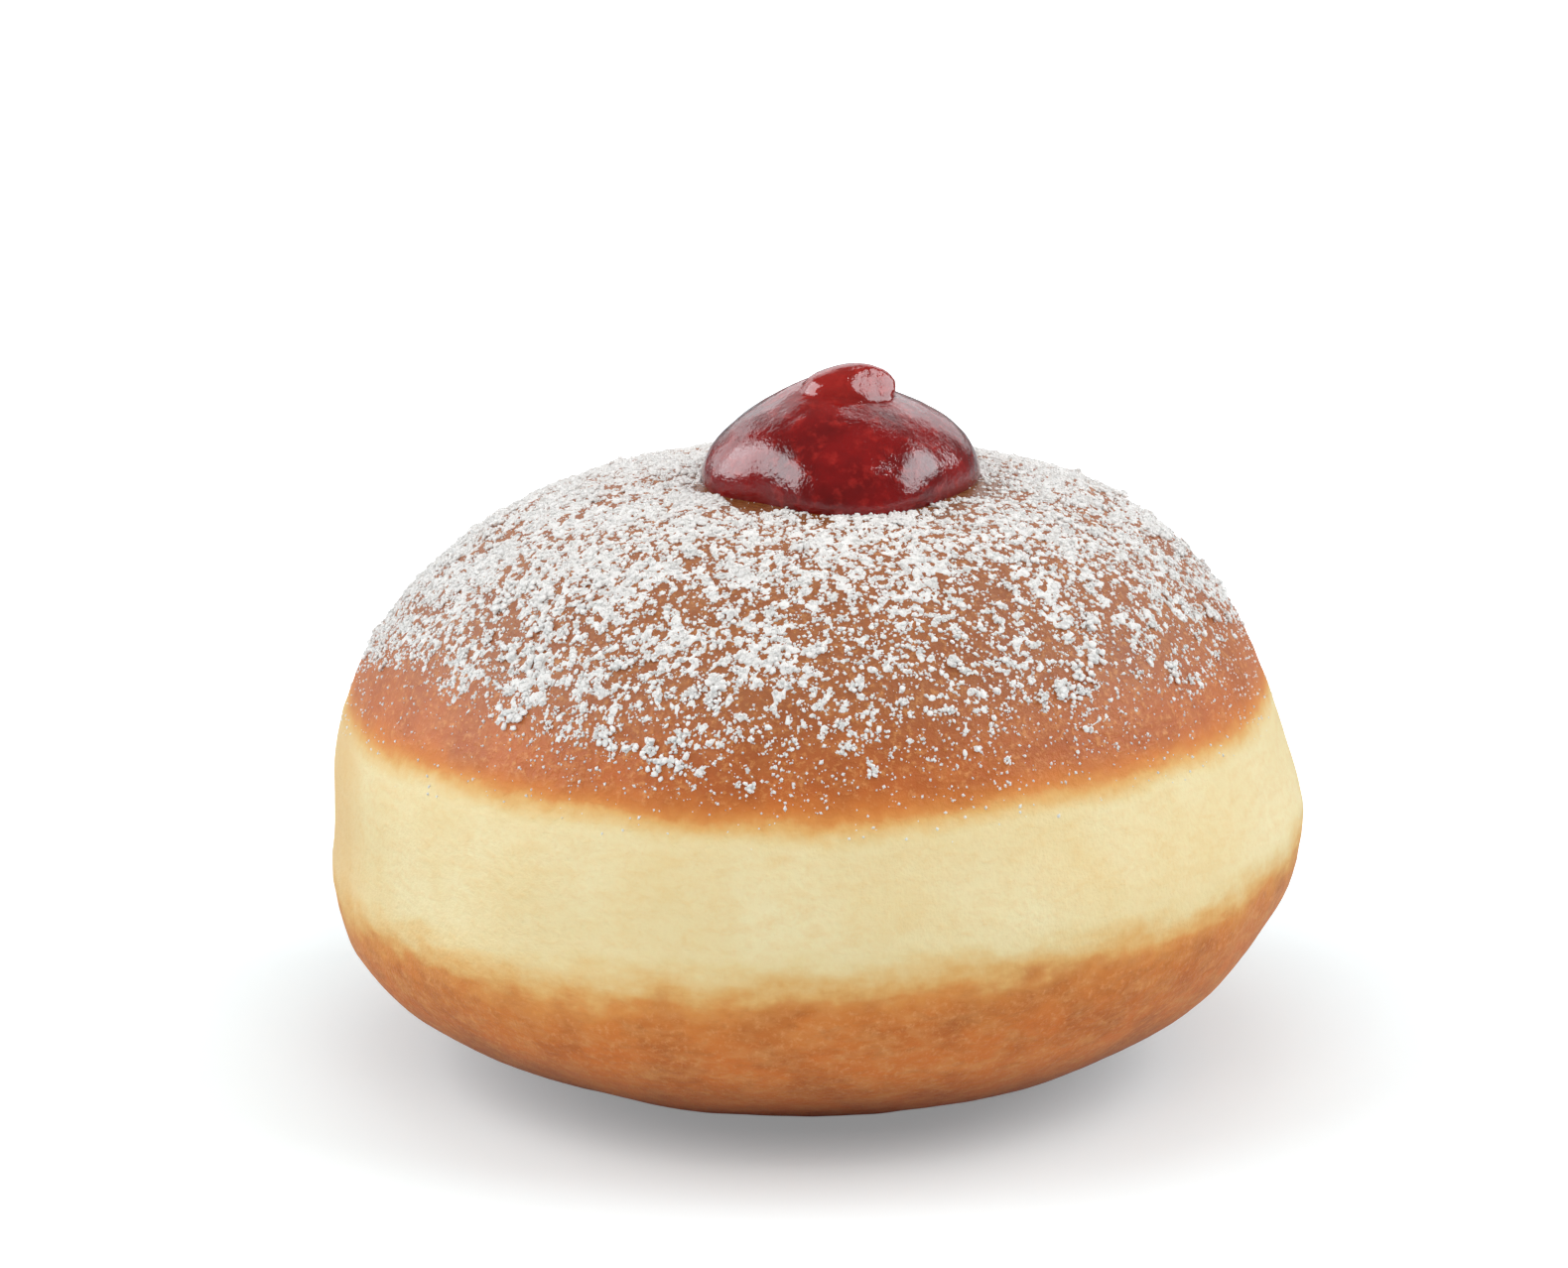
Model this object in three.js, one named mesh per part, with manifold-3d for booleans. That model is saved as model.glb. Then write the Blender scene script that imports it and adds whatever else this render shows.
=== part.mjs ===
// A jelly filled doughnut: a round bun of fried yeast dough with a dollop of jelly on its crown.
// Millimetres, +Z up, front towards -Y. The origin lies on the surface that the bun rests on,
// under the middle of the bun's width and depth.

import * as THREE from "three";
import { mergeVertices } from "three/addons/utils/BufferGeometryUtils.js";
import Module from "manifold-3d";

// The bun's main sizes. The waist is the level where the plain bun is widest.
const BUN_RADIUS = 42.7;
const CROWN_RISE = 34.9; // from the waist up to the crown
const BELLY_DROP = 20.1; // from the waist down to the round underside
const FOOT_CUT = 0.5; // height of underside that the bun's weight presses flat
const ROUND = 2; // superellipse power of an ellipse: more is boxier
const CROWN_FULLNESS = 2.54;
const BELLY_FULLNESS = 2.24;

// How the bun departs from a turned shape.
const COLLAR_SWELL = 0.5; // the pale collar stands out past the two crusts
const COLLAR_SHIFT = 1.75; // and lies further to the right than they do
const COLLAR_LEVEL = 2.3; // above the waist
const COLLAR_SPREAD = 7; // height over which the swelling fades
const CROWN_SHIFT = 1.6; // to the right, at the crown
const BELLY_SHIFT = 1.7; // to the right, at the underside
const WAIST_LEAN = 0.7; // the right side stands higher, the left side lower
const LEAN_FADE = 10; // height above the foot over which the lean sets in
const DIMPLE_DEPTH = 1.6; // the jelly's weight and the filling hole sink the crown
const DIMPLE_RADIUS = 11;

// The uneven rounding of hand-shaped dough: waves round the bun, each a share of the radius.
const DOUGH_WAVES = [
  { count: 2, share: 0.006 },
  { count: 3, share: 0.004 },
  { count: 5, share: 0.002 },
];

// The jelly: a low mound with a curled tip, sitting a little right and front of the crown.
const JELLY_RADIUS = 11.7;
const JELLY_CENTRE_X = 3.8;
const JELLY_CENTRE_Y = -2;
const JELLY_RISE = 7.6; // from the mound's own widest level
const JELLY_DROP = 4; // rounded underside of the mound, cut away where it meets the bun
const JELLY_WAIST = 34.4; // height of the mound's widest level above the bun's waist
const JELLY_GAP = 0.3; // clearance between the jelly and the bun
const JELLY_LOBES = [
  { toward: 275, reach: 1.1, spread: 30 },
  { toward: 232, reach: -1.1, spread: 22 },
  { toward: 190, reach: 0.5, spread: 24 },
  { toward: 330, reach: -0.5, spread: 24 },
  { toward: 5, reach: 0.4, spread: 22 },
  { toward: 80, reach: 0.6, spread: 35 },
];

// The tip: the mound rises to a low peak, and a short fat finger on it lies over to the right
// and hangs out a little at its end.
const PEAK_LIFT = 1.3;
const PEAK_SPREAD = 3.6;
const PEAK_OFFSET_X = -1.3; // from the mound's centre
const PEAK_OFFSET_Y = -0.4;
const TIP_LENGTH = 4; // half sizes
const TIP_WIDTH = 2.7;
const TIP_THICKNESS = 2.1;
const TIP_OFFSET_X = 0.8; // from the mound's centre
const TIP_OFFSET_Y = -1.5;
const TIP_LEVEL = 7.9; // above the mound's widest level
const TIP_TILT = 5; // degrees, left end down

// Mesh fineness.
const BUN_STEPS_ROUND = 80;
const BUN_STEPS_UP = 34;
const JELLY_STEPS_ROUND = 56;
const JELLY_STEPS_UP = 26;
const TIP_STEPS_ROUND = 28;
const TIP_STEPS_UP = 16;

const CRUST_COLOUR = 0xc07a48;
const JELLY_COLOUR = 0x96201f;

const wasm = await Module();
wasm.setup();

const radians = THREE.MathUtils.degToRad;

// 0 below the first value, 1 above the second, smooth between.
function easeBetween(low, high, value) {
  return THREE.MathUtils.smoothstep(value, low, high);
}

// A bump of height 1 at zero that fades over the given spread.
function bump(distance, spread) {
  return Math.exp(-((distance / spread) ** 2));
}

// Point of a superellipse quarter in the direction of an angle from the horizontal.
function roundedOutline(angle, halfWidth, halfHeight, fullness) {
  const across = Math.abs(Math.cos(angle)) / halfWidth;
  const up = Math.abs(Math.sin(angle)) / halfHeight;
  const reach = (across ** fullness + up ** fullness) ** (-1 / fullness);
  return new THREE.Vector2(Math.max(0, reach * Math.cos(angle)), reach * Math.sin(angle));
}

// Half outline of a turned body, from the axis at its bottom to the axis at its top.
// A foot level, where given, cuts the bottom off flat.
function turnedOutline(steps, radius, rise, drop, fullnessAbove, fullnessBelow, footLevel = -Infinity) {
  const points = [];
  for (let i = 0; i <= steps; i += 1) {
    const angle = radians(-90 + (180 * i) / steps);
    const above = angle >= 0;
    const point = roundedOutline(angle, radius, above ? rise : drop, above ? fullnessAbove : fullnessBelow);
    if (point.y > footLevel) points.push(point);
  }
  if (Number.isFinite(footLevel)) {
    const share = (Math.abs(footLevel) / drop) ** fullnessBelow;
    const footRadius = radius * (1 - share) ** (1 / fullnessBelow);
    points.unshift(new THREE.Vector2(0, footLevel), new THREE.Vector2(footRadius, footLevel));
  } else {
    points[0].x = 0;
  }
  points[points.length - 1].x = 0;
  return points;
}

// Turns an outline about the +Z axis and moves every point by the given rule.
function turnedBody(outline, stepsRound, rule) {
  const geometry = new THREE.LatheGeometry(outline, stepsRound);
  geometry.rotateX(Math.PI / 2);
  geometry.deleteAttribute("normal");
  geometry.deleteAttribute("uv");
  return reshape(mergeVertices(geometry, 1e-3), rule);
}

function reshape(geometry, rule) {
  const positions = geometry.getAttribute("position");
  const point = new THREE.Vector3();
  for (let i = 0; i < positions.count; i += 1) {
    point.fromBufferAttribute(positions, i);
    rule(point);
    positions.setXYZ(i, point.x, point.y, point.z);
  }
  return geometry;
}

// Shapes one point of the turned bun, measured from its waist, into the uneven real form.
function settleDough(point) {
  const level = point.z;
  const footLevel = FOOT_CUT - BELLY_DROP;
  const radius = Math.hypot(point.x, point.y);
  const heading = Math.atan2(point.y, point.x);
  const collar = bump(level - COLLAR_LEVEL, COLLAR_SPREAD);
  let scale = 1;
  if (radius > 0) scale += (collar * (COLLAR_SWELL + COLLAR_SHIFT * Math.cos(heading))) / BUN_RADIUS;
  for (const wave of DOUGH_WAVES) {
    scale += wave.share * Math.sin(wave.count * heading);
  }
  point.x *= scale;
  point.y *= scale;
  point.x += level > 0 ? (CROWN_SHIFT * level) / CROWN_RISE : (BELLY_SHIFT * -level) / BELLY_DROP;
  if (level > 0) point.z -= DIMPLE_DEPTH * bump(radius, DIMPLE_RADIUS);
  point.z += ((WAIST_LEAN * point.x) / BUN_RADIUS) * easeBetween(footLevel, footLevel + LEAN_FADE, level);
}

// The bun, grown on every side by a clearance where another piece is cut to fit it.
function doughBody(clearance = 0) {
  const outline = turnedOutline(
    BUN_STEPS_UP,
    BUN_RADIUS + clearance,
    CROWN_RISE + clearance,
    BELLY_DROP + clearance,
    CROWN_FULLNESS,
    BELLY_FULLNESS,
    FOOT_CUT - BELLY_DROP - clearance,
  );
  return turnedBody(outline, BUN_STEPS_ROUND, settleDough);
}

// Pushes the mound's rim out and in, so that it spreads as a spooned dollop does, and lifts its peak.
function spreadJelly(point) {
  const heading = THREE.MathUtils.radToDeg(Math.atan2(point.y, point.x));
  const lowness = 1 - easeBetween(0, JELLY_RISE, point.z);
  let scale = 1;
  for (const lobe of JELLY_LOBES) {
    const away = THREE.MathUtils.euclideanModulo(heading - lobe.toward + 180, 360) - 180;
    scale += (lobe.reach / JELLY_RADIUS) * lowness * bump(away, lobe.spread);
  }
  point.x *= scale;
  point.y *= scale;
  const fromPeak = Math.hypot(point.x - PEAK_OFFSET_X, point.y - PEAK_OFFSET_Y);
  if (point.z > 0) point.z += PEAK_LIFT * bump(fromPeak, PEAK_SPREAD);
}

function jellyMound() {
  const outline = turnedOutline(JELLY_STEPS_UP, JELLY_RADIUS, JELLY_RISE, JELLY_DROP, ROUND, ROUND);
  const mound = turnedBody(outline, JELLY_STEPS_ROUND, spreadJelly);
  return mound.translate(JELLY_CENTRE_X, JELLY_CENTRE_Y, JELLY_WAIST);
}

function jellyTip() {
  const outline = turnedOutline(TIP_STEPS_UP, 1, 1, 1, ROUND, ROUND);
  const tip = turnedBody(outline, TIP_STEPS_ROUND, () => {});
  tip.scale(TIP_LENGTH, TIP_WIDTH, TIP_THICKNESS);
  tip.rotateY(-radians(TIP_TILT));
  return tip.translate(JELLY_CENTRE_X + TIP_OFFSET_X, JELLY_CENTRE_Y + TIP_OFFSET_Y, JELLY_WAIST + TIP_LEVEL);
}

// Closed mesh to solid, leaving out the slivers that turning makes at the axis.
function toSolid(geometry) {
  const index = geometry.getIndex().array;
  const triVerts = [];
  for (let i = 0; i < index.length; i += 3) {
    const [a, b, c] = [index[i], index[i + 1], index[i + 2]];
    if (a !== b && b !== c && c !== a) triVerts.push(a, b, c);
  }
  const vertProperties = Float32Array.from(geometry.getAttribute("position").array);
  return new wasm.Manifold(new wasm.Mesh({ numProp: 3, vertProperties, triVerts: Uint32Array.from(triVerts) }));
}

function toGeometry(solid) {
  const mesh = solid.getMesh();
  const geometry = new THREE.BufferGeometry();
  geometry.setAttribute("position", new THREE.BufferAttribute(Float32Array.from(mesh.vertProperties), 3));
  geometry.setIndex(new THREE.BufferAttribute(Uint32Array.from(mesh.triVerts), 1));
  geometry.computeVertexNormals();
  return geometry;
}

// The mound and its tip are one mass of jelly, with its underside following the bun's crown.
function jellyBody() {
  const dollop = toSolid(jellyMound()).add(toSolid(jellyTip()));
  return dollop.subtract(toSolid(doughBody(JELLY_GAP)));
}

function namedPiece(name, geometry, colour, roughness) {
  const material = new THREE.MeshStandardMaterial({ color: colour, roughness, metalness: 0 });
  const piece = new THREE.Mesh(geometry, material);
  piece.name = name;
  return piece;
}

const dough = namedPiece("dough", toGeometry(toSolid(doughBody())), CRUST_COLOUR, 0.6);
const jelly = namedPiece("jelly", toGeometry(jellyBody()), JELLY_COLOUR, 0.12);

// Stand the bun on the ground, with the middle of its box over the origin.
const doughnut = new THREE.Group();
doughnut.add(dough, jelly);
const box = new THREE.Box3().setFromObject(dough);
const middle = box.getCenter(new THREE.Vector3());
doughnut.position.set(-middle.x, -middle.y, -box.min.z);

export default doughnut;
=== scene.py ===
import math
import statistics

import bmesh
import bpy
import numpy as np
from mathutils import Euler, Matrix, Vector, noise
from mathutils.bvhtree import BVHTree


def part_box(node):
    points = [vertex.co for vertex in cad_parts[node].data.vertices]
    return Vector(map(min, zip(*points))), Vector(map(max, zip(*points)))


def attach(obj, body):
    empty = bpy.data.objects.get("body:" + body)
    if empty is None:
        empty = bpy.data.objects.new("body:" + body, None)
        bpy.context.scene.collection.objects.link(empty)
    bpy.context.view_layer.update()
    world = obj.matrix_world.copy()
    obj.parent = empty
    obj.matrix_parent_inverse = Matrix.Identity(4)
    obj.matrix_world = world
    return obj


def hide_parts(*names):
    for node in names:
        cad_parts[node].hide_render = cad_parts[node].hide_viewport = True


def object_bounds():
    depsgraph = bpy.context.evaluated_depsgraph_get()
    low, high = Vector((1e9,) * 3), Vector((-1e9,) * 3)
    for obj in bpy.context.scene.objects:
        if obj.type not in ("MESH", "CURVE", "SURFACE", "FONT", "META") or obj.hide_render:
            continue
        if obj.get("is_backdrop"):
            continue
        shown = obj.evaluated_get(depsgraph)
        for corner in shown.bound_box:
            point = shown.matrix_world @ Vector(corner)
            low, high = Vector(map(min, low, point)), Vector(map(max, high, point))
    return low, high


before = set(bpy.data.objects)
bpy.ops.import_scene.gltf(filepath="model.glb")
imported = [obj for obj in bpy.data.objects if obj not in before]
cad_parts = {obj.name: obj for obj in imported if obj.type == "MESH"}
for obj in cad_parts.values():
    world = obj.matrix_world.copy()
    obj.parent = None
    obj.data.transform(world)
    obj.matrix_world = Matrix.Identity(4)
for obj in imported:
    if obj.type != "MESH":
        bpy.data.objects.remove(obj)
cad_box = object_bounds()


# ---------------------------------------------------------------------------------------------
# The bun: a ball of sweet yeast dough, shaped by hand and proved until it is light enough to
# float. It is fried on one side and then on the other, so both crusts brown and shrink a little,
# and the dough between them swells into a pale collar that the oil hardly touches.
# ---------------------------------------------------------------------------------------------

MM = 0.001

BUN_RADIUS = 42.7 * MM
CROWN_RISE = 34.9 * MM
BELLY_DROP = 20.1 * MM
FOOT_CUT = 0.5 * MM
CROWN_FULLNESS = 2.54
BELLY_FULLNESS = 2.24
COLLAR_SWELL = 0.5 * MM
COLLAR_SHIFT = 1.75 * MM
COLLAR_LEVEL = 2.3 * MM
COLLAR_SPREAD = 7 * MM
CROWN_SHIFT = 1.6 * MM
BELLY_SHIFT = 1.7 * MM
WAIST_LEAN = 0.7 * MM
LEAN_FADE = 10 * MM
DIMPLE_DEPTH = 1.6 * MM
DIMPLE_RADIUS = 11 * MM
DOUGH_WAVES = ((2, 0.006), (3, 0.004), (5, 0.002))

BUN_STEPS_ROUND = 330
BUN_STEPS_UP = 140

# Dents and swellings of the skin: the size of each and how far it stands in or out.
SKIN_DENTS = ((13 * MM, 0.34 * MM), (5 * MM, 0.12 * MM), (2 * MM, 0.035 * MM))
FOOT_SOFTNESS = 3 * MM

# Both edges of the collar wander up and down round the bun, measured from its waist.
COLLAR_TOP = 14.3 * MM
COLLAR_TOP_TILT = 0.7 * MM
COLLAR_TOP_WAVE = 0.2 * MM
COLLAR_BOTTOM = -0.1 * MM
COLLAR_BOTTOM_TILT = 2.4 * MM
EDGE_WANDER = 0.5 * MM
EDGE_WANDER_SIZE = 9 * MM
COLLAR_STEP = 0.12 * MM
COLLAR_STEP_WIDTH = 0.8 * MM


def ease(low, high, value):
    """0 below low, 1 above high, smooth between."""
    share = min(max((value - low) / (high - low), 0.0), 1.0)
    return share * share * (3 - 2 * share)


def bump(distance, spread):
    """1 at no distance, fading over the spread."""
    return math.exp(-((distance / spread) ** 2))


def rounded_outline(angle, half_width, half_height, fullness):
    """Point of a superellipse in the direction of an angle above the horizontal."""
    across = abs(math.cos(angle)) / half_width
    up = abs(math.sin(angle)) / half_height
    reach = (across**fullness + up**fullness) ** (-1 / fullness)
    return max(0.0, reach * math.cos(angle)), reach * math.sin(angle)


def half_outline(steps, radius, rise, drop, above, below, foot_level=None):
    """From the axis at the bottom, flat there if it has a foot, to the axis at the top."""
    points = []
    for step in range(steps + 1):
        angle = math.radians(-90 + 180 * step / steps)
        if angle >= 0:
            across, level = rounded_outline(angle, radius, rise, above)
        else:
            across, level = rounded_outline(angle, radius, drop, below)
        if foot_level is None or level > foot_level:
            points.append((across, level))
    if foot_level is not None:
        foot_shade_and_browning = (abs(foot_level) / drop) ** below
        foot_radius = radius * (1 - foot_shade_and_browning) ** (1 / below)
        points = [(0, foot_level), (foot_radius / 2, foot_level), (foot_radius, foot_level)] + points
    points[0] = (0, points[0][1])
    points[-1] = (0, points[-1][1])
    return points


def turn_outline(bm, points, steps_round):
    """Spins a half outline once round the upright axis into a closed skin."""
    verts = [bm.verts.new((across, 0, level)) for across, level in points]
    edges = [bm.edges.new(pair) for pair in zip(verts, verts[1:])]
    bmesh.ops.spin(bm, geom=verts + edges, cent=(0, 0, 0), axis=(0, 0, 1), angle=2 * math.pi,
                   steps=steps_round, use_merge=True)
    bmesh.ops.remove_doubles(bm, verts=bm.verts, dist=0.001 * MM)
    bmesh.ops.recalc_face_normals(bm, faces=bm.faces)


def collar_top(heading):
    """Level of the collar's upper edge in one direction round the bun."""
    wave = math.cos(4 * (heading + math.pi / 2))
    return COLLAR_TOP + COLLAR_TOP_TILT * math.cos(heading) - COLLAR_TOP_WAVE * wave


def collar_bottom(heading):
    """Level of the collar's lower edge, which climbs from the left side to the right."""
    return COLLAR_BOTTOM + COLLAR_BOTTOM_TILT * math.cos(heading)


def settle_dough(point):
    """Moves one point of the turned bun to its place in the uneven, hand-shaped one."""
    level = point.z
    foot_level = FOOT_CUT - BELLY_DROP
    radius = math.hypot(point.x, point.y)
    heading = math.atan2(point.y, point.x)
    collar = bump(level - COLLAR_LEVEL, COLLAR_SPREAD)
    scale = 1 + collar * (COLLAR_SWELL + COLLAR_SHIFT * math.cos(heading)) / BUN_RADIUS
    for count, share in DOUGH_WAVES:
        scale += share * math.sin(count * heading)
    below_top = ease(0, COLLAR_STEP_WIDTH, collar_top(heading) - level)
    above_bottom = ease(0, COLLAR_STEP_WIDTH, level - collar_bottom(heading))
    scale += COLLAR_STEP * below_top * above_bottom / BUN_RADIUS
    point.x *= scale
    point.y *= scale
    if level > 0:
        point.x += CROWN_SHIFT * level / CROWN_RISE
        point.z -= DIMPLE_DEPTH * bump(radius, DIMPLE_RADIUS)
    else:
        point.x -= BELLY_SHIFT * level / BELLY_DROP
    point.z += WAIST_LEAN * point.x / BUN_RADIUS * ease(foot_level, foot_level + LEAN_FADE, level)


def dent_skin(vert):
    """Presses the small dents and swellings of the skin, but leaves the foot flat."""
    foot_level = FOOT_CUT - BELLY_DROP
    softness = ease(foot_level, foot_level + FOOT_SOFTNESS, vert.co.z)
    push = 0.0
    for size, depth in SKIN_DENTS:
        push += depth * noise.noise(vert.co / size)
    vert.co += vert.normal * push * softness


bun_bm = bmesh.new()
turn_outline(bun_bm, half_outline(BUN_STEPS_UP, BUN_RADIUS, CROWN_RISE, BELLY_DROP, CROWN_FULLNESS,
                                  BELLY_FULLNESS, FOOT_CUT - BELLY_DROP), BUN_STEPS_ROUND)
for vert in bun_bm.verts:
    settle_dough(vert.co)
bun_bm.normal_update()
for vert in bun_bm.verts:
    dent_skin(vert)

# Each point keeps how far it lies above the collar's upper edge and below its lower one, in mm.
over_collar = bun_bm.verts.layers.float.new("over_collar")
under_collar = bun_bm.verts.layers.float.new("under_collar")
for vert in bun_bm.verts:
    heading = math.atan2(vert.co.y, vert.co.x)
    wander = EDGE_WANDER * noise.noise(vert.co / EDGE_WANDER_SIZE)
    vert[over_collar] = (vert.co.z - collar_top(heading) + wander) / MM
    vert[under_collar] = (collar_bottom(heading) - vert.co.z + 2 * wander) / MM

# The turned bun stands where the frame's own bun does: same middle, foot on the ground.
dough_low, dough_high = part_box("dough")
bun_xs = [vert.co.x for vert in bun_bm.verts]
bun_ys = [vert.co.y for vert in bun_bm.verts]
bun_axis = Vector(((dough_low.x + dough_high.x - min(bun_xs) - max(bun_xs)) / 2,
                   (dough_low.y + dough_high.y - min(bun_ys) - max(bun_ys)) / 2,
                   dough_low.z - FOOT_CUT + BELLY_DROP))
bmesh.ops.translate(bun_bm, verts=bun_bm.verts, vec=bun_axis)


def finish_piece(name, bm, smooth=True):
    """Turns a finished bmesh into a shown object at the origin."""
    mesh = bpy.data.meshes.new(name)
    bm.to_mesh(mesh)
    bm.free()
    mesh.polygons.foreach_set("use_smooth", [smooth] * len(mesh.polygons))
    piece = bpy.data.objects.new(name, mesh)
    bpy.context.scene.collection.objects.link(piece)
    return piece


bun_tree = BVHTree.FromBMesh(bun_bm)
bun = finish_piece("bun", bun_bm)


def skin_colour(red, green, blue):
    """A colour as a screen shows it, 0 to 255, as the linear light that shaders take."""
    linear = []
    for value in (red, green, blue):
        share = value / 255
        linear.append(share / 12.92 if share <= 0.04045 else ((share + 0.055) / 1.055) ** 2.4)
    return (*linear, 1.0)


def add_node(tree, kind, inputs=None, **settings):
    """Adds one shader node, sets it up, and feeds its inputs with values or other sockets."""
    made = tree.nodes.new(kind)
    for name, value in settings.items():
        setattr(made, name, value)
    for name, value in (inputs or {}).items():
        if isinstance(value, bpy.types.NodeSocket):
            tree.links.new(value, made.inputs[name])
        else:
            made.inputs[name].default_value = value
    return made


def start_material(name):
    """A new material, its node tree, and its Principled shader."""
    material = bpy.data.materials.new(name)
    material.use_nodes = True
    tree = material.node_tree
    return material, tree, tree.nodes["Principled BSDF"]


def noise_at(tree, place, size, detail=2.0, roughness=0.5, distortion=0.0):
    """Noise whose features are about the given size."""
    return add_node(tree, "ShaderNodeTexNoise", {
        "Vector": place, "Scale": 1 / size, "Detail": detail, "Roughness": roughness,
        "Distortion": distortion}).outputs["Fac"]


def remap(tree, value, low, high, to_low=0.0, to_high=1.0):
    return add_node(tree, "ShaderNodeMapRange", {
        "Value": value, "From Min": low, "From Max": high, "To Min": to_low,
        "To Max": to_high}).outputs["Result"]


def calculate(tree, operation, first, second=0.5, third=0.5, clamp=False):
    made = add_node(tree, "ShaderNodeMath", {0: first, 1: second, 2: third},
                    operation=operation, use_clamp=clamp)
    return made.outputs["Value"]


def blend_colours(tree, share, first, second, mode="MIX"):
    made = add_node(tree, "ShaderNodeMix", {0: share, 6: first, 7: second},
                    data_type="RGBA", blend_type=mode)
    return made.outputs[2]


def colour_steps(tree, value, low, high, steps):
    """Colours along a scale from low to high: each step is its place on the scale and a colour."""
    ramp = add_node(tree, "ShaderNodeValToRGB", {"Fac": remap(tree, value, low, high)})
    stops = ramp.color_ramp.elements
    while len(stops) < len(steps):
        stops.new(0.5)
    for stop, (place, colour) in zip(stops, steps):
        stop.position = (place - low) / (high - low)
        stop.color = colour
    return ramp.outputs["Color"]


# All the surfaces here have a coarse and a fine unevenness, so they share one node group for it.
uneven_relief = bpy.data.node_groups.new("uneven_relief", "ShaderNodeTree")
for name in ("Coarse", "Fine", "Coarse Share", "Strength", "Depth"):
    uneven_relief.interface.new_socket(name, in_out="INPUT", socket_type="NodeSocketFloat")
uneven_relief.interface.new_socket("Normal", in_out="OUTPUT", socket_type="NodeSocketVector")
given = uneven_relief.nodes.new("NodeGroupInput").outputs
height = calculate(uneven_relief, "MULTIPLY_ADD", given["Coarse"], given["Coarse Share"], given["Fine"])
bumps = add_node(uneven_relief, "ShaderNodeBump", {
    "Height": height, "Strength": given["Strength"], "Distance": given["Depth"]})
add_node(uneven_relief, "NodeGroupOutput", {"Normal": bumps.outputs["Normal"]})


def add_relief(tree, shader, coarse, fine, coarse_share, strength, depth):
    """Gives a shader the shared relief, made of two noises."""
    relief = tree.nodes.new("ShaderNodeGroup")
    relief.node_tree = uneven_relief
    tree.links.new(coarse, relief.inputs["Coarse"])
    tree.links.new(fine, relief.inputs["Fine"])
    relief.inputs["Coarse Share"].default_value = coarse_share
    relief.inputs["Strength"].default_value = strength
    relief.inputs["Depth"].default_value = depth
    tree.links.new(relief.outputs["Normal"], shader.inputs["Normal"])


COLLAR_PALE = skin_colour(247, 233, 188)
COLLAR_CREAM = skin_colour(240, 216, 160)
COLLAR_GOLD = skin_colour(238, 204, 142)
EDGE_PALE = skin_colour(233, 182, 112)
EDGE_GOLD = skin_colour(225, 150, 78)
CROWN_AMBER = skin_colour(214, 126, 58)
CROWN_BROWN = skin_colour(197, 107, 50)
CROWN_DEEP = skin_colour(168, 96, 51)
BELLY_AMBER = skin_colour(216, 130, 60)
BELLY_BROWN = skin_colour(217, 120, 52)
BELLY_DEEP = skin_colour(192, 86, 26)
BELLY_DARK_AND_SHADED = skin_colour(102, 34, 5)
CRUST_DARK = skin_colour(148, 72, 32)
CRUST_LIGHT = skin_colour(226, 158, 92)
CRUST_FLECK = skin_colour(236, 172, 106)
CRUST_MOIST = skin_colour(128, 78, 38)
CRUST_DUSTED_AND_SHADED = skin_colour(140, 114, 94)

bun_material, tree, shader = start_material("fried_dough")
place = add_node(tree, "ShaderNodeTexCoord").outputs["Object"]
over = add_node(tree, "ShaderNodeAttribute", attribute_name="over_collar").outputs["Fac"]
under = add_node(tree, "ShaderNodeAttribute", attribute_name="under_collar").outputs["Fac"]
fibres = add_node(tree, "ShaderNodeMapping", {"Vector": place, "Scale": (1, 1, 2.2)}).outputs["Vector"]
soft_edge = noise_at(tree, fibres, 4 * MM, 3.0, 0.5)
ragged_edge = noise_at(tree, place, 1.1 * MM, 3.0, 0.6)
over = calculate(tree, "ADD", over, remap(tree, soft_edge, 0.3, 0.7, -0.3, 0.3))
over = calculate(tree, "ADD", over, remap(tree, ragged_edge, 0.3, 0.7, -0.2, 0.2))
under = calculate(tree, "ADD", under, remap(tree, soft_edge, 0.3, 0.7, 0.9, -0.9))
under = calculate(tree, "ADD", under, remap(tree, ragged_edge, 0.3, 0.7, -0.3, 0.3))

# The collar is pale and soft, with broad golden clouds and faint stretch marks along it.
clouds = noise_at(tree, place, 9 * MM, 3.0, 0.5)
stretch_marks = noise_at(tree, fibres, 1.9 * MM, 4.0, 0.6, 0.5)
grain = noise_at(tree, place, 0.55 * MM, 3.0, 0.7)
collar_colour = blend_colours(tree, remap(tree, clouds, 0.2, 0.8), COLLAR_PALE, COLLAR_CREAM)
collar_colour = blend_colours(tree, remap(tree, stretch_marks, 0.44, 0.74, 0.0, 0.5), collar_colour,
                              COLLAR_GOLD)
collar_colour = blend_colours(tree, remap(tree, grain, 0.5, 0.7, 0.0, 0.3), collar_colour, COLLAR_GOLD)
crown_colour = colour_steps(tree, over, -2.4, 9, (
    (-2.4, COLLAR_PALE), (-1.5, COLLAR_CREAM), (-0.9, COLLAR_GOLD), (-0.3, EDGE_PALE),
    (0.3, EDGE_GOLD), (1.0, CROWN_AMBER), (2.4, CROWN_BROWN), (9, CROWN_DEEP)))
belly_colour = colour_steps(tree, under, -4, 18, (
    (-4, COLLAR_PALE), (-2.2, COLLAR_CREAM), (-1, COLLAR_GOLD), (0.2, EDGE_PALE), (1.4, EDGE_GOLD),
    (2.6, BELLY_AMBER), (6, BELLY_BROWN), (13, BELLY_BROWN), (18, BELLY_DEEP)))
colour = blend_colours(tree, remap(tree, over, -2.4, -1.2), collar_colour, crown_colour)
colour = blend_colours(tree, remap(tree, under, -4, -1.5), colour, belly_colour)
in_crown = remap(tree, over, 0.0, 2.0)
in_belly = remap(tree, under, 0.0, 3.0)
in_crust = calculate(tree, "MAXIMUM", in_crown, in_belly)

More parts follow.
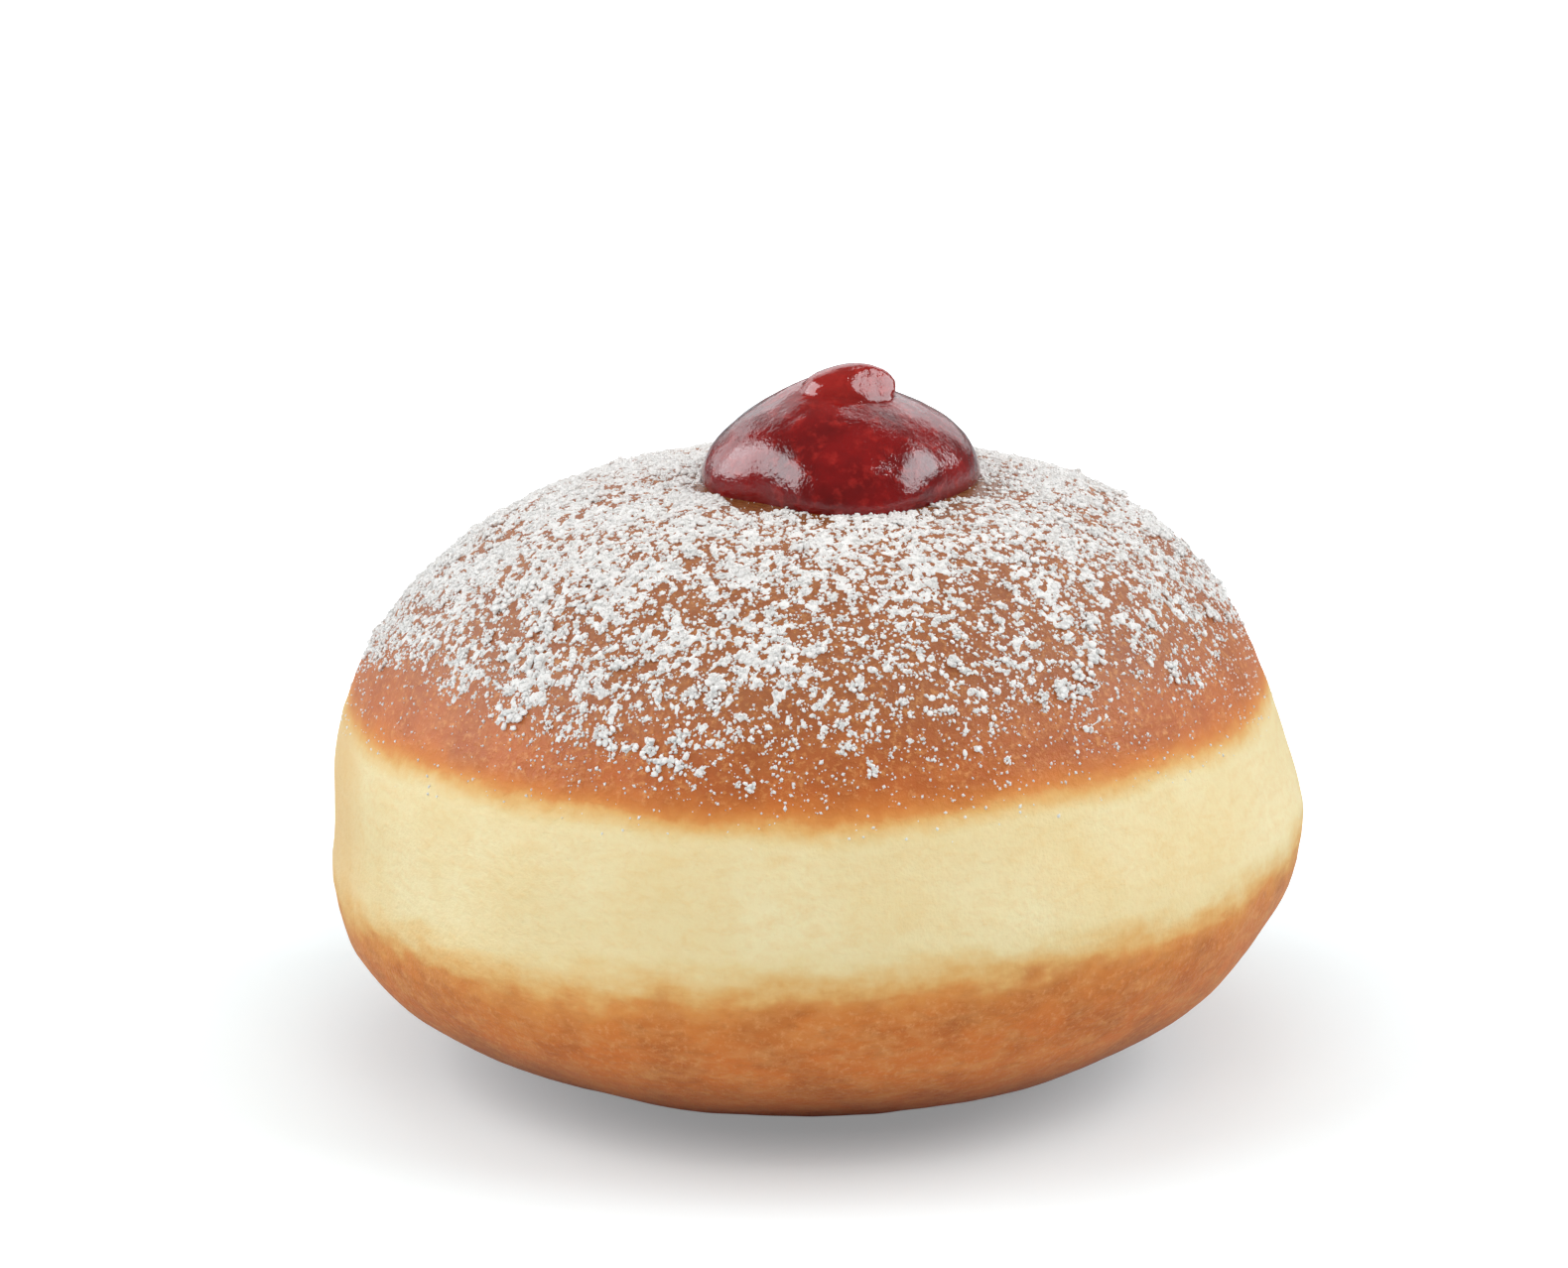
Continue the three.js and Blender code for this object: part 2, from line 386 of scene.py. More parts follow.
# The crusts are mottled: broad dark patches, golden blotches on the belly, and fine flecks.
patches = noise_at(tree, place, 6 * MM, 3.0, 0.55)
blotches = noise_at(tree, fibres, 2.6 * MM, 4.0, 0.65, 0.5)
dark_share = calculate(tree, "MULTIPLY", remap(tree, patches, 0.45, 0.75, 0.0, 0.55), in_crust)
colour = blend_colours(tree, dark_share, colour, CRUST_DARK)
blotch_share = calculate(tree, "MULTIPLY", remap(tree, blotches, 0.45, 0.7, 0.0, 0.6), in_belly)
colour = blend_colours(tree, blotch_share, colour, CRUST_LIGHT)
mottling = noise_at(tree, fibres, 3.2 * MM, 5.0, 0.7, 0.4)
mottling_share = calculate(tree, "MULTIPLY", remap(tree, mottling, 0.5, 0.68, 0.0, 0.26), in_belly)
colour = blend_colours(tree, mottling_share, colour, CRUST_DARK)
crown_share = calculate(tree, "MULTIPLY", remap(tree, blotches, 0.5, 0.75, 0.0, 0.25), in_crown)
colour = blend_colours(tree, crown_share, colour, CRUST_LIGHT)
fleck_share = calculate(tree, "MULTIPLY", remap(tree, grain, 0.52, 0.7, 0.0, 0.5), in_crust)
colour = blend_colours(tree, fleck_share, colour, CRUST_FLECK)

# The foot, where the bun lay on the hot rack, is the darkest: partly browner crust, and partly painted
# shade that deepens towards the floor. The collar browned a little on its left side, where another
# bun floated against it.
axes = add_node(tree, "ShaderNodeSeparateXYZ", {"Vector": place}).outputs
# Painted shade with browner crust: darker the nearer the floor.
foot_shade_and_browning = remap(tree, axes["Z"], 11 * MM, 3.5 * MM, 0.0, 0.9)
colour = blend_colours(tree, foot_shade_and_browning, colour, BELLY_DARK_AND_SHADED)
tan_share = remap(tree, axes["X"], -39.2 * MM, -41.4 * MM, 0.0, 0.45)
tan_share = calculate(tree, "MULTIPLY", tan_share, remap(tree, in_crust, 0, 1, 1, 0))
colour = blend_colours(tree, tan_share, colour, EDGE_PALE)

# Close to the jelly its juice soaks in, so the crust there is darker and wet.
beside = add_node(tree, "ShaderNodeAttribute", attribute_name="beside_jelly").outputs["Fac"]
wet = remap(tree, calculate(tree, "ADD", beside, remap(tree, soft_edge, 0.3, 0.7, -0.6, 0.6)), 3.8, 2.0)
colour = blend_colours(tree, calculate(tree, "MULTIPLY", wet, 0.8), colour, CRUST_MOIST)

# Where the drifts are thick, the crust between them is dulled by the finest sugar and darkened by
# painted shade between the drifts.
dust_and_shade = add_node(tree, "ShaderNodeAttribute", attribute_name="sugar_dust_and_shade").outputs["Fac"]
dust_and_shade_grain = noise_at(tree, place, 0.35 * MM, 2.0, 0.6)
dust_and_shade = calculate(tree, "MULTIPLY", dust_and_shade, remap(tree, wet, 0, 1, 1, 0))
dust_and_shade_share = calculate(tree, "MULTIPLY", dust_and_shade, remap(tree, dust_and_shade_grain, 0.35, 0.65, 0.4, 1.0))
colour = blend_colours(tree, dust_and_shade_share, colour, CRUST_DUSTED_AND_SHADED)

add_relief(tree, shader, stretch_marks, grain, 0.8, 0.5, 0.3 * MM)
dry_roughness = remap(tree, in_crust, 0.0, 1.0, 0.75, 0.5)
tree.links.new(colour, shader.inputs["Base Color"])
tree.links.new(calculate(tree, "MULTIPLY_ADD", wet, -0.25, dry_roughness), shader.inputs["Roughness"])
shader.inputs["Specular IOR Level"].default_value = 0.22
shader.inputs["Subsurface Weight"].default_value = 0.1
shader.inputs["Subsurface Radius"].default_value = (1.0, 0.55, 0.3)
shader.inputs["Subsurface Scale"].default_value = 1.2 * MM
bun.data.materials.append(bun_material)

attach(bun, "root")
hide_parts("dough")


# ---------------------------------------------------------------------------------------------
# The jelly: a spoonful of red fruit jelly that stands on the crown over the filling hole. It is
# spooned on warm, spreads into round lobes, and the last thread folds over into a small curled tip.
# ---------------------------------------------------------------------------------------------

JELLY_RADIUS = 11.7 * MM
JELLY_RISE = 7.6 * MM
JELLY_DROP = 4 * MM
JELLY_ROUNDNESS = 2.0
JELLY_PLACE = Vector((3.8, -2, 34.4)) * MM
JELLY_LOBES = ((275, 1.1, 30), (232, -1.1, 22), (190, 0.5, 24), (330, -0.5, 24), (5, 0.4, 22), (80, 0.6, 35))
JELLY_SWELL = 0.22 * MM
JELLY_STEPS_ROUND = 96
JELLY_STEPS_UP = 44
PEAK_LIFT = 1.3 * MM
PEAK_SPREAD = 3.6 * MM
PEAK_PLACE = Vector((-1.3, -0.4)) * MM
TIP_SIZE = Vector((4.1, 2.7, 1.95)) * MM
TIP_PLACE = Vector((0.7, -1.4, 8.2)) * MM
TIP_TILT = math.radians(5)
TIP_FACE = Vector((0.515, -0.646, 0.562))
TIP_FACE_LEVEL = 1.85 * MM
TIP_FACE_DOME = 0.12
JELLY_GRAIN = 0.3 * MM
JELLY_LUMPS = ((5 * MM, 0.22 * MM), (1.6 * MM, 0.05 * MM))
JELLY_SEAT = 0.4 * MM


def reach_toward(heading, lobes):
    """How far a few lobes reach in one direction, in metres. Each lobe is the heading it points to,
    in degrees, its reach in mm and its spread in degrees."""
    degrees = math.degrees(heading)
    return sum(reach * MM * bump((degrees - toward + 180) % 360 - 180, spread)
               for toward, reach, spread in lobes)


jelly_bm = bmesh.new()
turn_outline(jelly_bm, half_outline(JELLY_STEPS_UP, JELLY_RADIUS, JELLY_RISE, JELLY_DROP,
                                    JELLY_ROUNDNESS, JELLY_ROUNDNESS), JELLY_STEPS_ROUND)
for vert in jelly_bm.verts:
    lowness = 1 - ease(0, JELLY_RISE, vert.co.z)
    scale = 1 + lowness * reach_toward(math.atan2(vert.co.y, vert.co.x), JELLY_LOBES) / JELLY_RADIUS
    vert.co.x *= scale
    vert.co.y *= scale
    if vert.co.z > 0:
        vert.co.z += PEAK_LIFT * bump((vert.co.xy - PEAK_PLACE).length, PEAK_SPREAD)
tip = bmesh.ops.create_icosphere(jelly_bm, subdivisions=4, radius=1)["verts"]
bmesh.ops.scale(jelly_bm, verts=tip, vec=TIP_SIZE)
bmesh.ops.rotate(jelly_bm, verts=tip, matrix=Euler((0, -TIP_TILT, 0)).to_matrix())
for vert in tip:
    beyond = max(0.0, vert.co.dot(TIP_FACE) - TIP_FACE_LEVEL)
    vert.co -= TIP_FACE * beyond * (1 - TIP_FACE_DOME)
bmesh.ops.translate(jelly_bm, verts=tip, vec=TIP_PLACE)
bmesh.ops.translate(jelly_bm, verts=jelly_bm.verts, vec=bun_axis + JELLY_PLACE)
jelly = finish_piece("jelly_dollop", jelly_bm)

melt = jelly.modifiers.new("melt", "REMESH")
melt.mode = "VOXEL"
melt.voxel_size = JELLY_GRAIN
soften = jelly.modifiers.new("soften", "SMOOTH")
soften.factor = 0.5
soften.iterations = 3
melted = jelly.evaluated_get(bpy.context.evaluated_depsgraph_get())
jelly_mesh = bpy.data.meshes.new_from_object(melted)
jelly.modifiers.clear()
jelly.data = jelly_mesh

jelly_bm = bmesh.new()
jelly_bm.from_mesh(jelly_mesh)
for vert in jelly_bm.verts:
    push = JELLY_SWELL
    for size, depth in JELLY_LUMPS:
        push += depth * noise.noise(vert.co / size)
    vert.co += vert.normal * push
    crust = bun_tree.ray_cast(Vector((vert.co.x, vert.co.y, cad_box[1].z)), Vector((0, 0, -1)))[0]
    vert.co.z = max(vert.co.z, crust.z - JELLY_SEAT)
jelly_bm.to_mesh(jelly_mesh)
jelly_bm.free()
jelly_mesh.polygons.foreach_set("use_smooth", [True] * len(jelly_mesh.polygons))

JELLY_DARK = skin_colour(84, 8, 8)
JELLY_RED = skin_colour(134, 18, 18)
JELLY_BRIGHT = skin_colour(192, 50, 42)

jelly_material, tree, shader = start_material("fruit_jelly")
place = add_node(tree, "ShaderNodeTexCoord").outputs["Object"]
depths = noise_at(tree, place, 6 * MM, 3.0, 0.55)
pulp = noise_at(tree, place, 1.2 * MM, 4.0, 0.65)
seeds = noise_at(tree, place, 0.5 * MM, 2.0, 0.5)
colour = blend_colours(tree, remap(tree, depths, 0.35, 0.65), JELLY_DARK, JELLY_RED)
colour = blend_colours(tree, remap(tree, pulp, 0.52, 0.72, 0.0, 0.45), colour, JELLY_BRIGHT)

# The peak and the tip are thin enough for light to come through, so they are the brightest red.
height = add_node(tree, "ShaderNodeSeparateXYZ", {"Vector": place}).outputs["Z"]
thin = remap(tree, calculate(tree, "MULTIPLY_ADD", pulp, 2 * MM, height), 61.3 * MM, 63.4 * MM, 0.0, 0.45)
colour = blend_colours(tree, thin, colour, JELLY_BRIGHT)
smooth_pulp = calculate(tree, "MULTIPLY", pulp, remap(tree, height, 60 * MM, 61.5 * MM, 1.0, 0.4))
add_relief(tree, shader, seeds, smooth_pulp, 0.35, 0.75, 0.12 * MM)
tree.links.new(colour, shader.inputs["Base Color"])
shader.inputs["Roughness"].default_value = 0.07
shader.inputs["Specular IOR Level"].default_value = 0.5
shader.inputs["Subsurface Weight"].default_value = 0.35
shader.inputs["Subsurface Radius"].default_value = (1.0, 0.08, 0.06)
shader.inputs["Subsurface Scale"].default_value = 2 * MM
jelly.data.materials.append(jelly_material)


def beyond_jelly(point):
    """How far outside the jelly's rim a point of the crust lies, seen from above."""
    x = point[0] - bun_axis.x - JELLY_PLACE.x
    y = point[1] - bun_axis.y - JELLY_PLACE.y
    return math.hypot(x, y) - JELLY_RADIUS - reach_toward(math.atan2(y, x), JELLY_LOBES)


beside_jelly = bun.data.attributes.new("beside_jelly", "FLOAT", "POINT")
beside_jelly.data.foreach_set("value", [beyond_jelly(vert.co) / MM if vert.co.z > bun_axis.z else 99
                                        for vert in bun.data.vertices])

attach(jelly, "root")
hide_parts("jelly")


# ---------------------------------------------------------------------------------------------
# The powdered sugar: sifted over the crown from above through a fine sieve. It lies thickest on
# the flat of the crown, gathers in lacy drifts and small clumps, and thins out down the sides.
# ---------------------------------------------------------------------------------------------

SUGAR_SEED = 7
SUGAR_LACE = 0.78 * MM
SUGAR_DRIFT = 5 * MM
DRIFT_SHARE = 0.45
LACE_SPREAD = 0.27
SUGAR_BY_SLOPE = ((0.28, 0.01), (0.40, 0.03), (0.49, 0.1), (0.61, 0.27), (0.73, 0.49), (0.86, 0.64),
                  (0.97, 0.74))
THIN_COVER = 0.3
THIN_LOSS = 0.06
SUGAR_LEFT = 0.13
SUGAR_SIDES = 0.07
SUGAR_ABOVE_COLLAR = (0, 3.8 * MM)
CLEAR_OF_JELLY = 0.1 * MM
BARE_PATCHES = ((230, 2.7, 15), (340, 2.0, 11), (195, 1.2, 9))
BARE_EDGES = ((210, 5.5, 34), (0, 3.2, 40))
DUST_AND_SHADE_SHARE = 0.5
NO_SUGAR = -1.0

sugar_random = np.random.default_rng(SUGAR_SEED)


def over_skin_edge(point):
    """How far above the collar's upper edge a point of the skin lies."""
    heading = math.atan2(point[1] - bun_axis.y, point[0] - bun_axis.x)
    return point[2] - bun_axis.z - collar_top(heading)


def sugar_cover(point, normal):
    """Share of the crust that sugar hides here: by slope, and more on the left than the right."""
    heading = math.atan2(point[1] - bun_axis.y, point[0] - bun_axis.x)
    leftness = -math.cos(heading)
    slope = normal[2] + SUGAR_LEFT * leftness + SUGAR_SIDES * leftness**2
    slopes, covers = zip(*SUGAR_BY_SLOPE)
    level = over_skin_edge(point) - reach_toward(heading, BARE_EDGES)
    return float(np.interp(slope, slopes, covers)) * ease(*SUGAR_ABOVE_COLLAR, level)


def sugar_margin(point, normal):
    """How deep inside a drift this point lies, below zero where the crust is bare."""
    heading = math.atan2(point[1] - bun_axis.y - JELLY_PLACE.y, point[0] - bun_axis.x - JELLY_PLACE.x)
    rim = CLEAR_OF_JELLY + reach_toward(heading, BARE_PATCHES)
    cover = sugar_cover(point, normal)
    if beyond_jelly(point) < rim or cover <= 0:
        return NO_SUGAR
    place = Vector(point)
    lace = noise.fractal(place / SUGAR_LACE, 0.8, 2.0, 3)
    drift = DRIFT_SHARE * noise.noise(place / SUGAR_DRIFT)
    bare = statistics.NormalDist(0, LACE_SPREAD).inv_cdf(1 - cover)
    return lace + drift - bare - THIN_LOSS * ease(THIN_COVER, 0.0, cover)


# Share of dust and painted shade on the crust between the drifts, more where sugar covers more.
sugar_dust_and_shade = bun.data.attributes.new("sugar_dust_and_shade", "FLOAT", "POINT")
sugar_dust_and_shade.data.foreach_set("value", [DUST_AND_SHADE_SHARE * sugar_cover(vert.co, vert.normal)
                                      for vert in bun.data.vertices])

SUGAR_WHITE = skin_colour(253, 253, 252)
SUGAR_HOLLOW = skin_colour(238, 235, 232)

sugar_material, tree, shader = start_material("powdered_sugar")
place = add_node(tree, "ShaderNodeTexCoord").outputs["Object"]
crystals = noise_at(tree, place, 0.14 * MM, 3.0, 0.7)
colour = blend_colours(tree, remap(tree, crystals, 0.36, 0.56), SUGAR_HOLLOW, SUGAR_WHITE)
dents = noise_at(tree, place, 0.4 * MM)
add_relief(tree, shader, dents, crystals, 0.6, 0.6, 0.06 * MM)
tree.links.new(colour, shader.inputs["Base Color"])
shader.inputs["Roughness"].default_value = 0.9
shader.inputs["Specular IOR Level"].default_value = 0.2
shader.inputs["Subsurface Weight"].default_value = 0.5
shader.inputs["Subsurface Radius"].default_value = (1.0, 1.0, 1.0)
shader.inputs["Subsurface Scale"].default_value = 0.25 * MM


def finish_sugar(piece):
    piece.data.materials.append(sugar_material)
    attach(piece, "root")


# The drifts: soft little knobs that run together in one layer. It lies on the skin where there is
# sugar, and dips under the skin where it is bare.
DRIFT_CELLS = 410
DRIFT_REACH = 42.5 * MM
DRIFT_SINK = 0.25 * MM
KNOB_SIZE = 0.44 * MM
KNOB_REACH = 0.27 * MM
KNOB_RISE = 0.14 * MM
KNOB_MARGIN = 0.06
KNOB_CHANCE = 0.3
KNOB_SMALL = 0.8
KNOB_GROWTH = 1.5
KNOB_LARGE = 1.3
LUCK_SIZE = 0.02 * MM

knob_margins = {}


def drift_height(point, normal):
    """How far the sugar's surface stands above the skin, below zero where there is none."""
    height = -DRIFT_SINK
    for knob in noise.voronoi(point / KNOB_SIZE)[1]:
        knob *= KNOB_SIZE
        mark = knob.to_tuple(6)
        if mark not in knob_margins:
            luck = KNOB_CHANCE * (noise.cell(knob / LUCK_SIZE) - 0.5)
            knob_margins[mark] = sugar_margin(knob, normal) - KNOB_MARGIN + luck
        if knob_margins[mark] > 0:
            away = (point - knob).length / KNOB_REACH
            size = min(KNOB_LARGE, KNOB_SMALL + KNOB_GROWTH * knob_margins[mark])
            height = max(height, KNOB_RISE * (size**2 - away**2))
    return height


drift_bm = bmesh.new()
bmesh.ops.create_grid(drift_bm, x_segments=DRIFT_CELLS, y_segments=DRIFT_CELLS, size=DRIFT_REACH)
drift_layer = drift_bm.verts.layers.float.new("height")
for vert in drift_bm.verts:
    above = Vector((vert.co.x + bun_axis.x, vert.co.y + bun_axis.y, cad_box[1].z))
    point, normal = bun_tree.ray_cast(above, Vector((0, 0, -1)))[:2]
    vert[drift_layer] = NO_SUGAR
    if point is not None:
        vert[drift_layer] = drift_height(point, normal)
        vert.co = point + normal * vert[drift_layer]
bare_faces = [face for face in drift_bm.faces if all(vert[drift_layer] < 0 for vert in face.verts)]
bmesh.ops.delete(drift_bm, geom=bare_faces, context="FACES")
finish_sugar(finish_piece("sugar_drifts", drift_bm))

bun.data.calc_loop_triangles()
skin_points = np.array([vert.co for vert in bun.data.vertices])
skin_normals = np.array([vert.normal for vert in bun.data.vertices])
skin_triangles = np.array([triangle.vertices for triangle in bun.data.loop_triangles])
skin_areas = np.array([triangle.area for triangle in bun.data.loop_triangles])
skin_slopes = skin_normals[skin_triangles].mean(axis=1)[:, 2]
skin_areas *= skin_slopes > SUGAR_BY_SLOPE[0][0] - SUGAR_LEFT - SUGAR_SIDES


def sift(tries, limit, keep):
    """Random points on the crown, each kept by the chance that keep gives for how deep it lies in a
    drift, how thick the sugar is there and how far it is above the collar."""
    chosen = sugar_random.choice(len(skin_areas), tries, p=skin_areas / skin_areas.sum())
    shares = sugar_random.dirichlet((1, 1, 1), tries)[:, :, None]
    points = (skin_points[skin_triangles[chosen]] * shares).sum(axis=1)
    normals = (skin_normals[skin_triangles[chosen]] * shares).sum(axis=1)
    normals /= np.linalg.norm(normals, axis=1)[:, None]
    margins = np.array([sugar_margin(point, normal) for point, normal in zip(points, normals)])
    covers = np.array([sugar_cover(point, normal) for point, normal in zip(points, normals)])
    levels = np.array([over_skin_edge(point) for point in points])
    kept = sugar_random.random(tries) < keep(margins, covers, levels)
    return points[kept][:limit], normals[kept][:limit]


def rest_on_drifts(points, normals, lifts):
    """Raises points from the skin to the drifts' surface, and by the given lifts above it."""
    heights = [max(0.0, drift_height(Vector(point), normal)) for point, normal in zip(points, normals)]
    return points + normals * (np.array(heights) + lifts)[:, None]


BALL_SHAPES = 8
BALL_UNEVENNESS = 0.22
BALL_STRETCH = (0.8, 1.3)


def uneven_ball(operator, **steps):
    """One small uneven ball from a bmesh operator: its corners and its faces."""
    bm = bmesh.new()
    operator(bm, radius=1, **steps)
    for vert in bm.verts:
        vert.co += Vector(sugar_random.uniform(-BALL_UNEVENNESS, BALL_UNEVENNESS, 3))
    corners = np.array([vert.co for vert in bm.verts])
    faces = np.array([[vert.index for vert in face.verts] for face in bm.faces])
    bm.free()
    return corners, faces


crumbs = [uneven_ball(bmesh.ops.create_uvsphere, u_segments=4, v_segments=2) for _ in range(BALL_SHAPES)]
lumps = [uneven_ball(bmesh.ops.create_icosphere, subdivisions=1) for _ in range(BALL_SHAPES)]


def join_balls(name, shapes, points, normals, radii, flatness):
    """Sets a ball on each point, pressed flat to the skin, and joins them all in one piece."""
    helper = np.where(np.abs(normals[:, :1]) < 0.9, [[1.0, 0, 0]], [[0, 1.0, 0]])
    across = np.cross(helper, normals)
    across /= np.linalg.norm(across, axis=1)[:, None]
    turn = sugar_random.uniform(0, 2 * math.pi, len(points))[:, None]
    side = across * np.cos(turn) + np.cross(normals, across) * np.sin(turn)
    front = np.cross(normals, side)
    stretch = sugar_random.uniform(*BALL_STRETCH, (len(points), 1))
    kinds = sugar_random.integers(len(shapes), size=len(points))
    all_corners = []
    all_faces = []
    start = 0
    for kind, (corners, faces) in enumerate(shapes):
        mine = kinds == kind
        axes = np.stack([side[mine] * stretch[mine], front[mine] / stretch[mine],
                         normals[mine] * flatness], axis=1)
        placed = np.einsum("vk,nkc->nvc", corners, axes * radii[mine, None, None])
        placed += points[mine, None, :]
        offsets = start + len(corners) * np.arange(mine.sum())
        all_corners.append(placed.reshape(-1, 3))
        all_faces.append((faces[None] + offsets[:, None, None]).reshape(-1, 3))
        start += placed.shape[0] * placed.shape[1]
    mesh = bpy.data.meshes.new(name)
    mesh.from_pydata(np.concatenate(all_corners).tolist(), [], np.concatenate(all_faces).tolist())
    mesh.polygons.foreach_set("use_smooth", [True] * len(mesh.polygons))
    piece = bpy.data.objects.new(name, mesh)
    bpy.context.scene.collection.objects.link(piece)
    finish_sugar(piece)


# The grains: fine crumbs of sugar that fringe the drifts and lie on them.
GRAIN_TRIES = 90000
GRAIN_LIMIT = 24000
GRAIN_SMALL = 0.1 * MM
GRAIN_LARGE = 0.24 * MM
GRAIN_FLATNESS = 0.7
GRAIN_LIFT = 0.1

points, normals = sift(GRAIN_TRIES, GRAIN_LIMIT, lambda margins, covers, levels: margins > 0)
radii = GRAIN_SMALL + (GRAIN_LARGE - GRAIN_SMALL) * sugar_random.random(len(points)) ** 1.5
points = rest_on_drifts(points, normals, GRAIN_LIFT * radii)
join_balls("sugar_grains", crumbs, points, normals, radii, GRAIN_FLATNESS)

# The lumps: small loose ones wherever the drifts are thick enough to hold them.
LUMP_TRIES = 24000
LUMP_LIMIT = 5000
LUMP_MARGIN = 0.08
LUMP_STRAYS = 0.3
LUMP_SMALL = 0.14 * MM
LUMP_LARGE = 0.32 * MM
LUMP_FLATNESS = 0.65
LUMP_LIFT = 0.2


def lump_chance(margins, covers, levels):
    return np.where(margins > LUMP_MARGIN, 1.0, LUMP_STRAYS * covers * (margins > NO_SUGAR))


points, normals = sift(LUMP_TRIES, LUMP_LIMIT, lump_chance)
radii = LUMP_SMALL + (LUMP_LARGE - LUMP_SMALL) * sugar_random.random(len(points)) ** 2.5
points = rest_on_drifts(points, normals, LUMP_LIFT * radii)
join_balls("sugar_lumps", lumps, points, normals, radii, LUMP_FLATNESS)

# The clumps: damp knots of a dozen lumps or so that fell through the sieve together.
CLUMP_TRIES = 1500
CLUMP_LIMIT = 560
CLUMP_CHANCE = 4.0
CLUMP_CROWDING = 0.6
CLUMP_LUMPS = 16
CLUMP_SPREAD = 0.36 * MM
CLUMP_SIZES = (0.45, 1.4)
CLUMP_LUMP_SIZES = (0.13 * MM, 0.3 * MM)
CLUMP_SEAT = 0.08 * MM
CLUMP_FLATNESS = 0.7
CLUMP_TALLNESS = 0.3


def clump_chance(margins, covers, levels):
    return np.minimum(CLUMP_CHANCE * covers, CLUMP_CROWDING) * (margins > NO_SUGAR)


points, normals = sift(CLUMP_TRIES, CLUMP_LIMIT, clump_chance)
sizes = CLUMP_SIZES[0] + (CLUMP_SIZES[1] - CLUMP_SIZES[0]) * sugar_random.random(len(points)) ** 2
points = np.repeat(points, CLUMP_LUMPS, axis=0)
normals = np.repeat(normals, CLUMP_LUMPS, axis=0)
sizes = np.repeat(sizes, CLUMP_LUMPS)
spread = sugar_random.normal(0, CLUMP_SPREAD, points.shape) * sizes[:, None]
rise = (spread * normals).sum(axis=1)[:, None]
points = points + spread + normals * (CLUMP_SEAT + CLUMP_TALLNESS * np.abs(rise) - rise)
radii = sizes * sugar_random.uniform(*CLUMP_LUMP_SIZES, len(points))
join_balls("sugar_clumps", lumps, points, normals, radii, CLUMP_FLATNESS)

# The specks: single crystals and pinches of dust that lie between the drifts and below them.
SPECK_TRIES = 150000
SPECK_LIMIT = 24000
SPECK_FADE = 0.65
SPECK_CHANCE = 0.5
SPECK_LEVELS = (-3 * MM, 3 * MM)
SPECK_SMALL = 0.06 * MM
SPECK_LARGE = 0.2 * MM
SPECK_FLATNESS = 0.8


def speck_chance(margins, covers, levels):
    chances = SPECK_CHANCE * np.exp(np.clip(margins, NO_SUGAR, 0) / SPECK_FADE)
    return chances * [ease(*SPECK_LEVELS, level) for level in levels]


points, normals = sift(SPECK_TRIES, SPECK_LIMIT, speck_chance)
radii = SPECK_SMALL + (SPECK_LARGE - SPECK_SMALL) * sugar_random.random(len(points)) ** 2
join_balls("sugar_specks", crumbs, points, normals, radii, SPECK_FLATNESS)


# ---------------------------------------------------------------------------------------------
# The studio: a plain pale floor with a painted glow that only the camera sees, weakest near the
# middle and brightening to white with distance, the same all round, and soft panels round the bun.
# Some light what is matt, and others are only there for the wet jelly to mirror: a large one at each
# side, smaller ones towards the rear, and two for its finest glints.
# ---------------------------------------------------------------------------------------------

FLOOR_HALF = 3.0
FLOOR_GLOW = 0.25
HORIZON_GLOW = 1.0
HORIZON_NEAR = 40 * MM
HORIZON_FAR = 180 * MM
FILL_LIGHT = 0.2
WHITE_LIGHT = (1.0, 1.0, 1.0)
WARM_LIGHT = (1.0, 0.965, 0.92)
COOL_LIGHT = (0.93, 0.96, 1.0)
CAMERA_DISTANCE = 0.544
CAMERA_ELEVATION = math.radians(16.84)
CAMERA_LENS = 138.9
CAMERA_SIDE = -1.25 * MM
AIM_HEIGHT = 19.4 * MM

floor_bm = bmesh.new()
bmesh.ops.create_grid(floor_bm, x_segments=8, y_segments=8, size=FLOOR_HALF)
floor = finish_piece("floor", floor_bm, smooth=False)
floor_material, tree, shader = start_material("pale_floor")
place = add_node(tree, "ShaderNodeTexCoord").outputs["Object"]
distance = add_node(tree, "ShaderNodeVectorMath", {0: place}, operation="LENGTH").outputs["Value"]
# Painted glow on the floor, which only the camera sees: weakest near the middle, brightening to white with
# distance.
glow = remap(tree, distance, HORIZON_NEAR, HORIZON_FAR, FLOOR_GLOW, FLOOR_GLOW + HORIZON_GLOW)
to_camera = add_node(tree, "ShaderNodeLightPath").outputs["Is Camera Ray"]
tree.links.new(calculate(tree, "MULTIPLY", to_camera, glow), shader.inputs["Emission Strength"])
shader.inputs["Base Color"].default_value = (0.78, 0.865, 0.9, 1.0)
shader.inputs["Roughness"].default_value = 1.0
shader.inputs["Specular IOR Level"].default_value = 0.0
shader.inputs["Emission Color"].default_value = (1, 1, 1, 1)
floor.data.materials.append(floor_material)
floor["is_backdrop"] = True

world = bpy.data.worlds.new("studio")
world.use_nodes = True
sky = world.node_tree.nodes["Background"]
sky.inputs["Color"].default_value = (1, 1, 1, 1)
to_camera = add_node(world.node_tree, "ShaderNodeLightPath").outputs["Is Camera Ray"]
world.node_tree.links.new(remap(world.node_tree, to_camera, 0, 1, FILL_LIGHT, 1.0),
                          sky.inputs["Strength"])
bpy.context.scene.world = world
bpy.context.scene.view_settings.view_transform = "Standard"


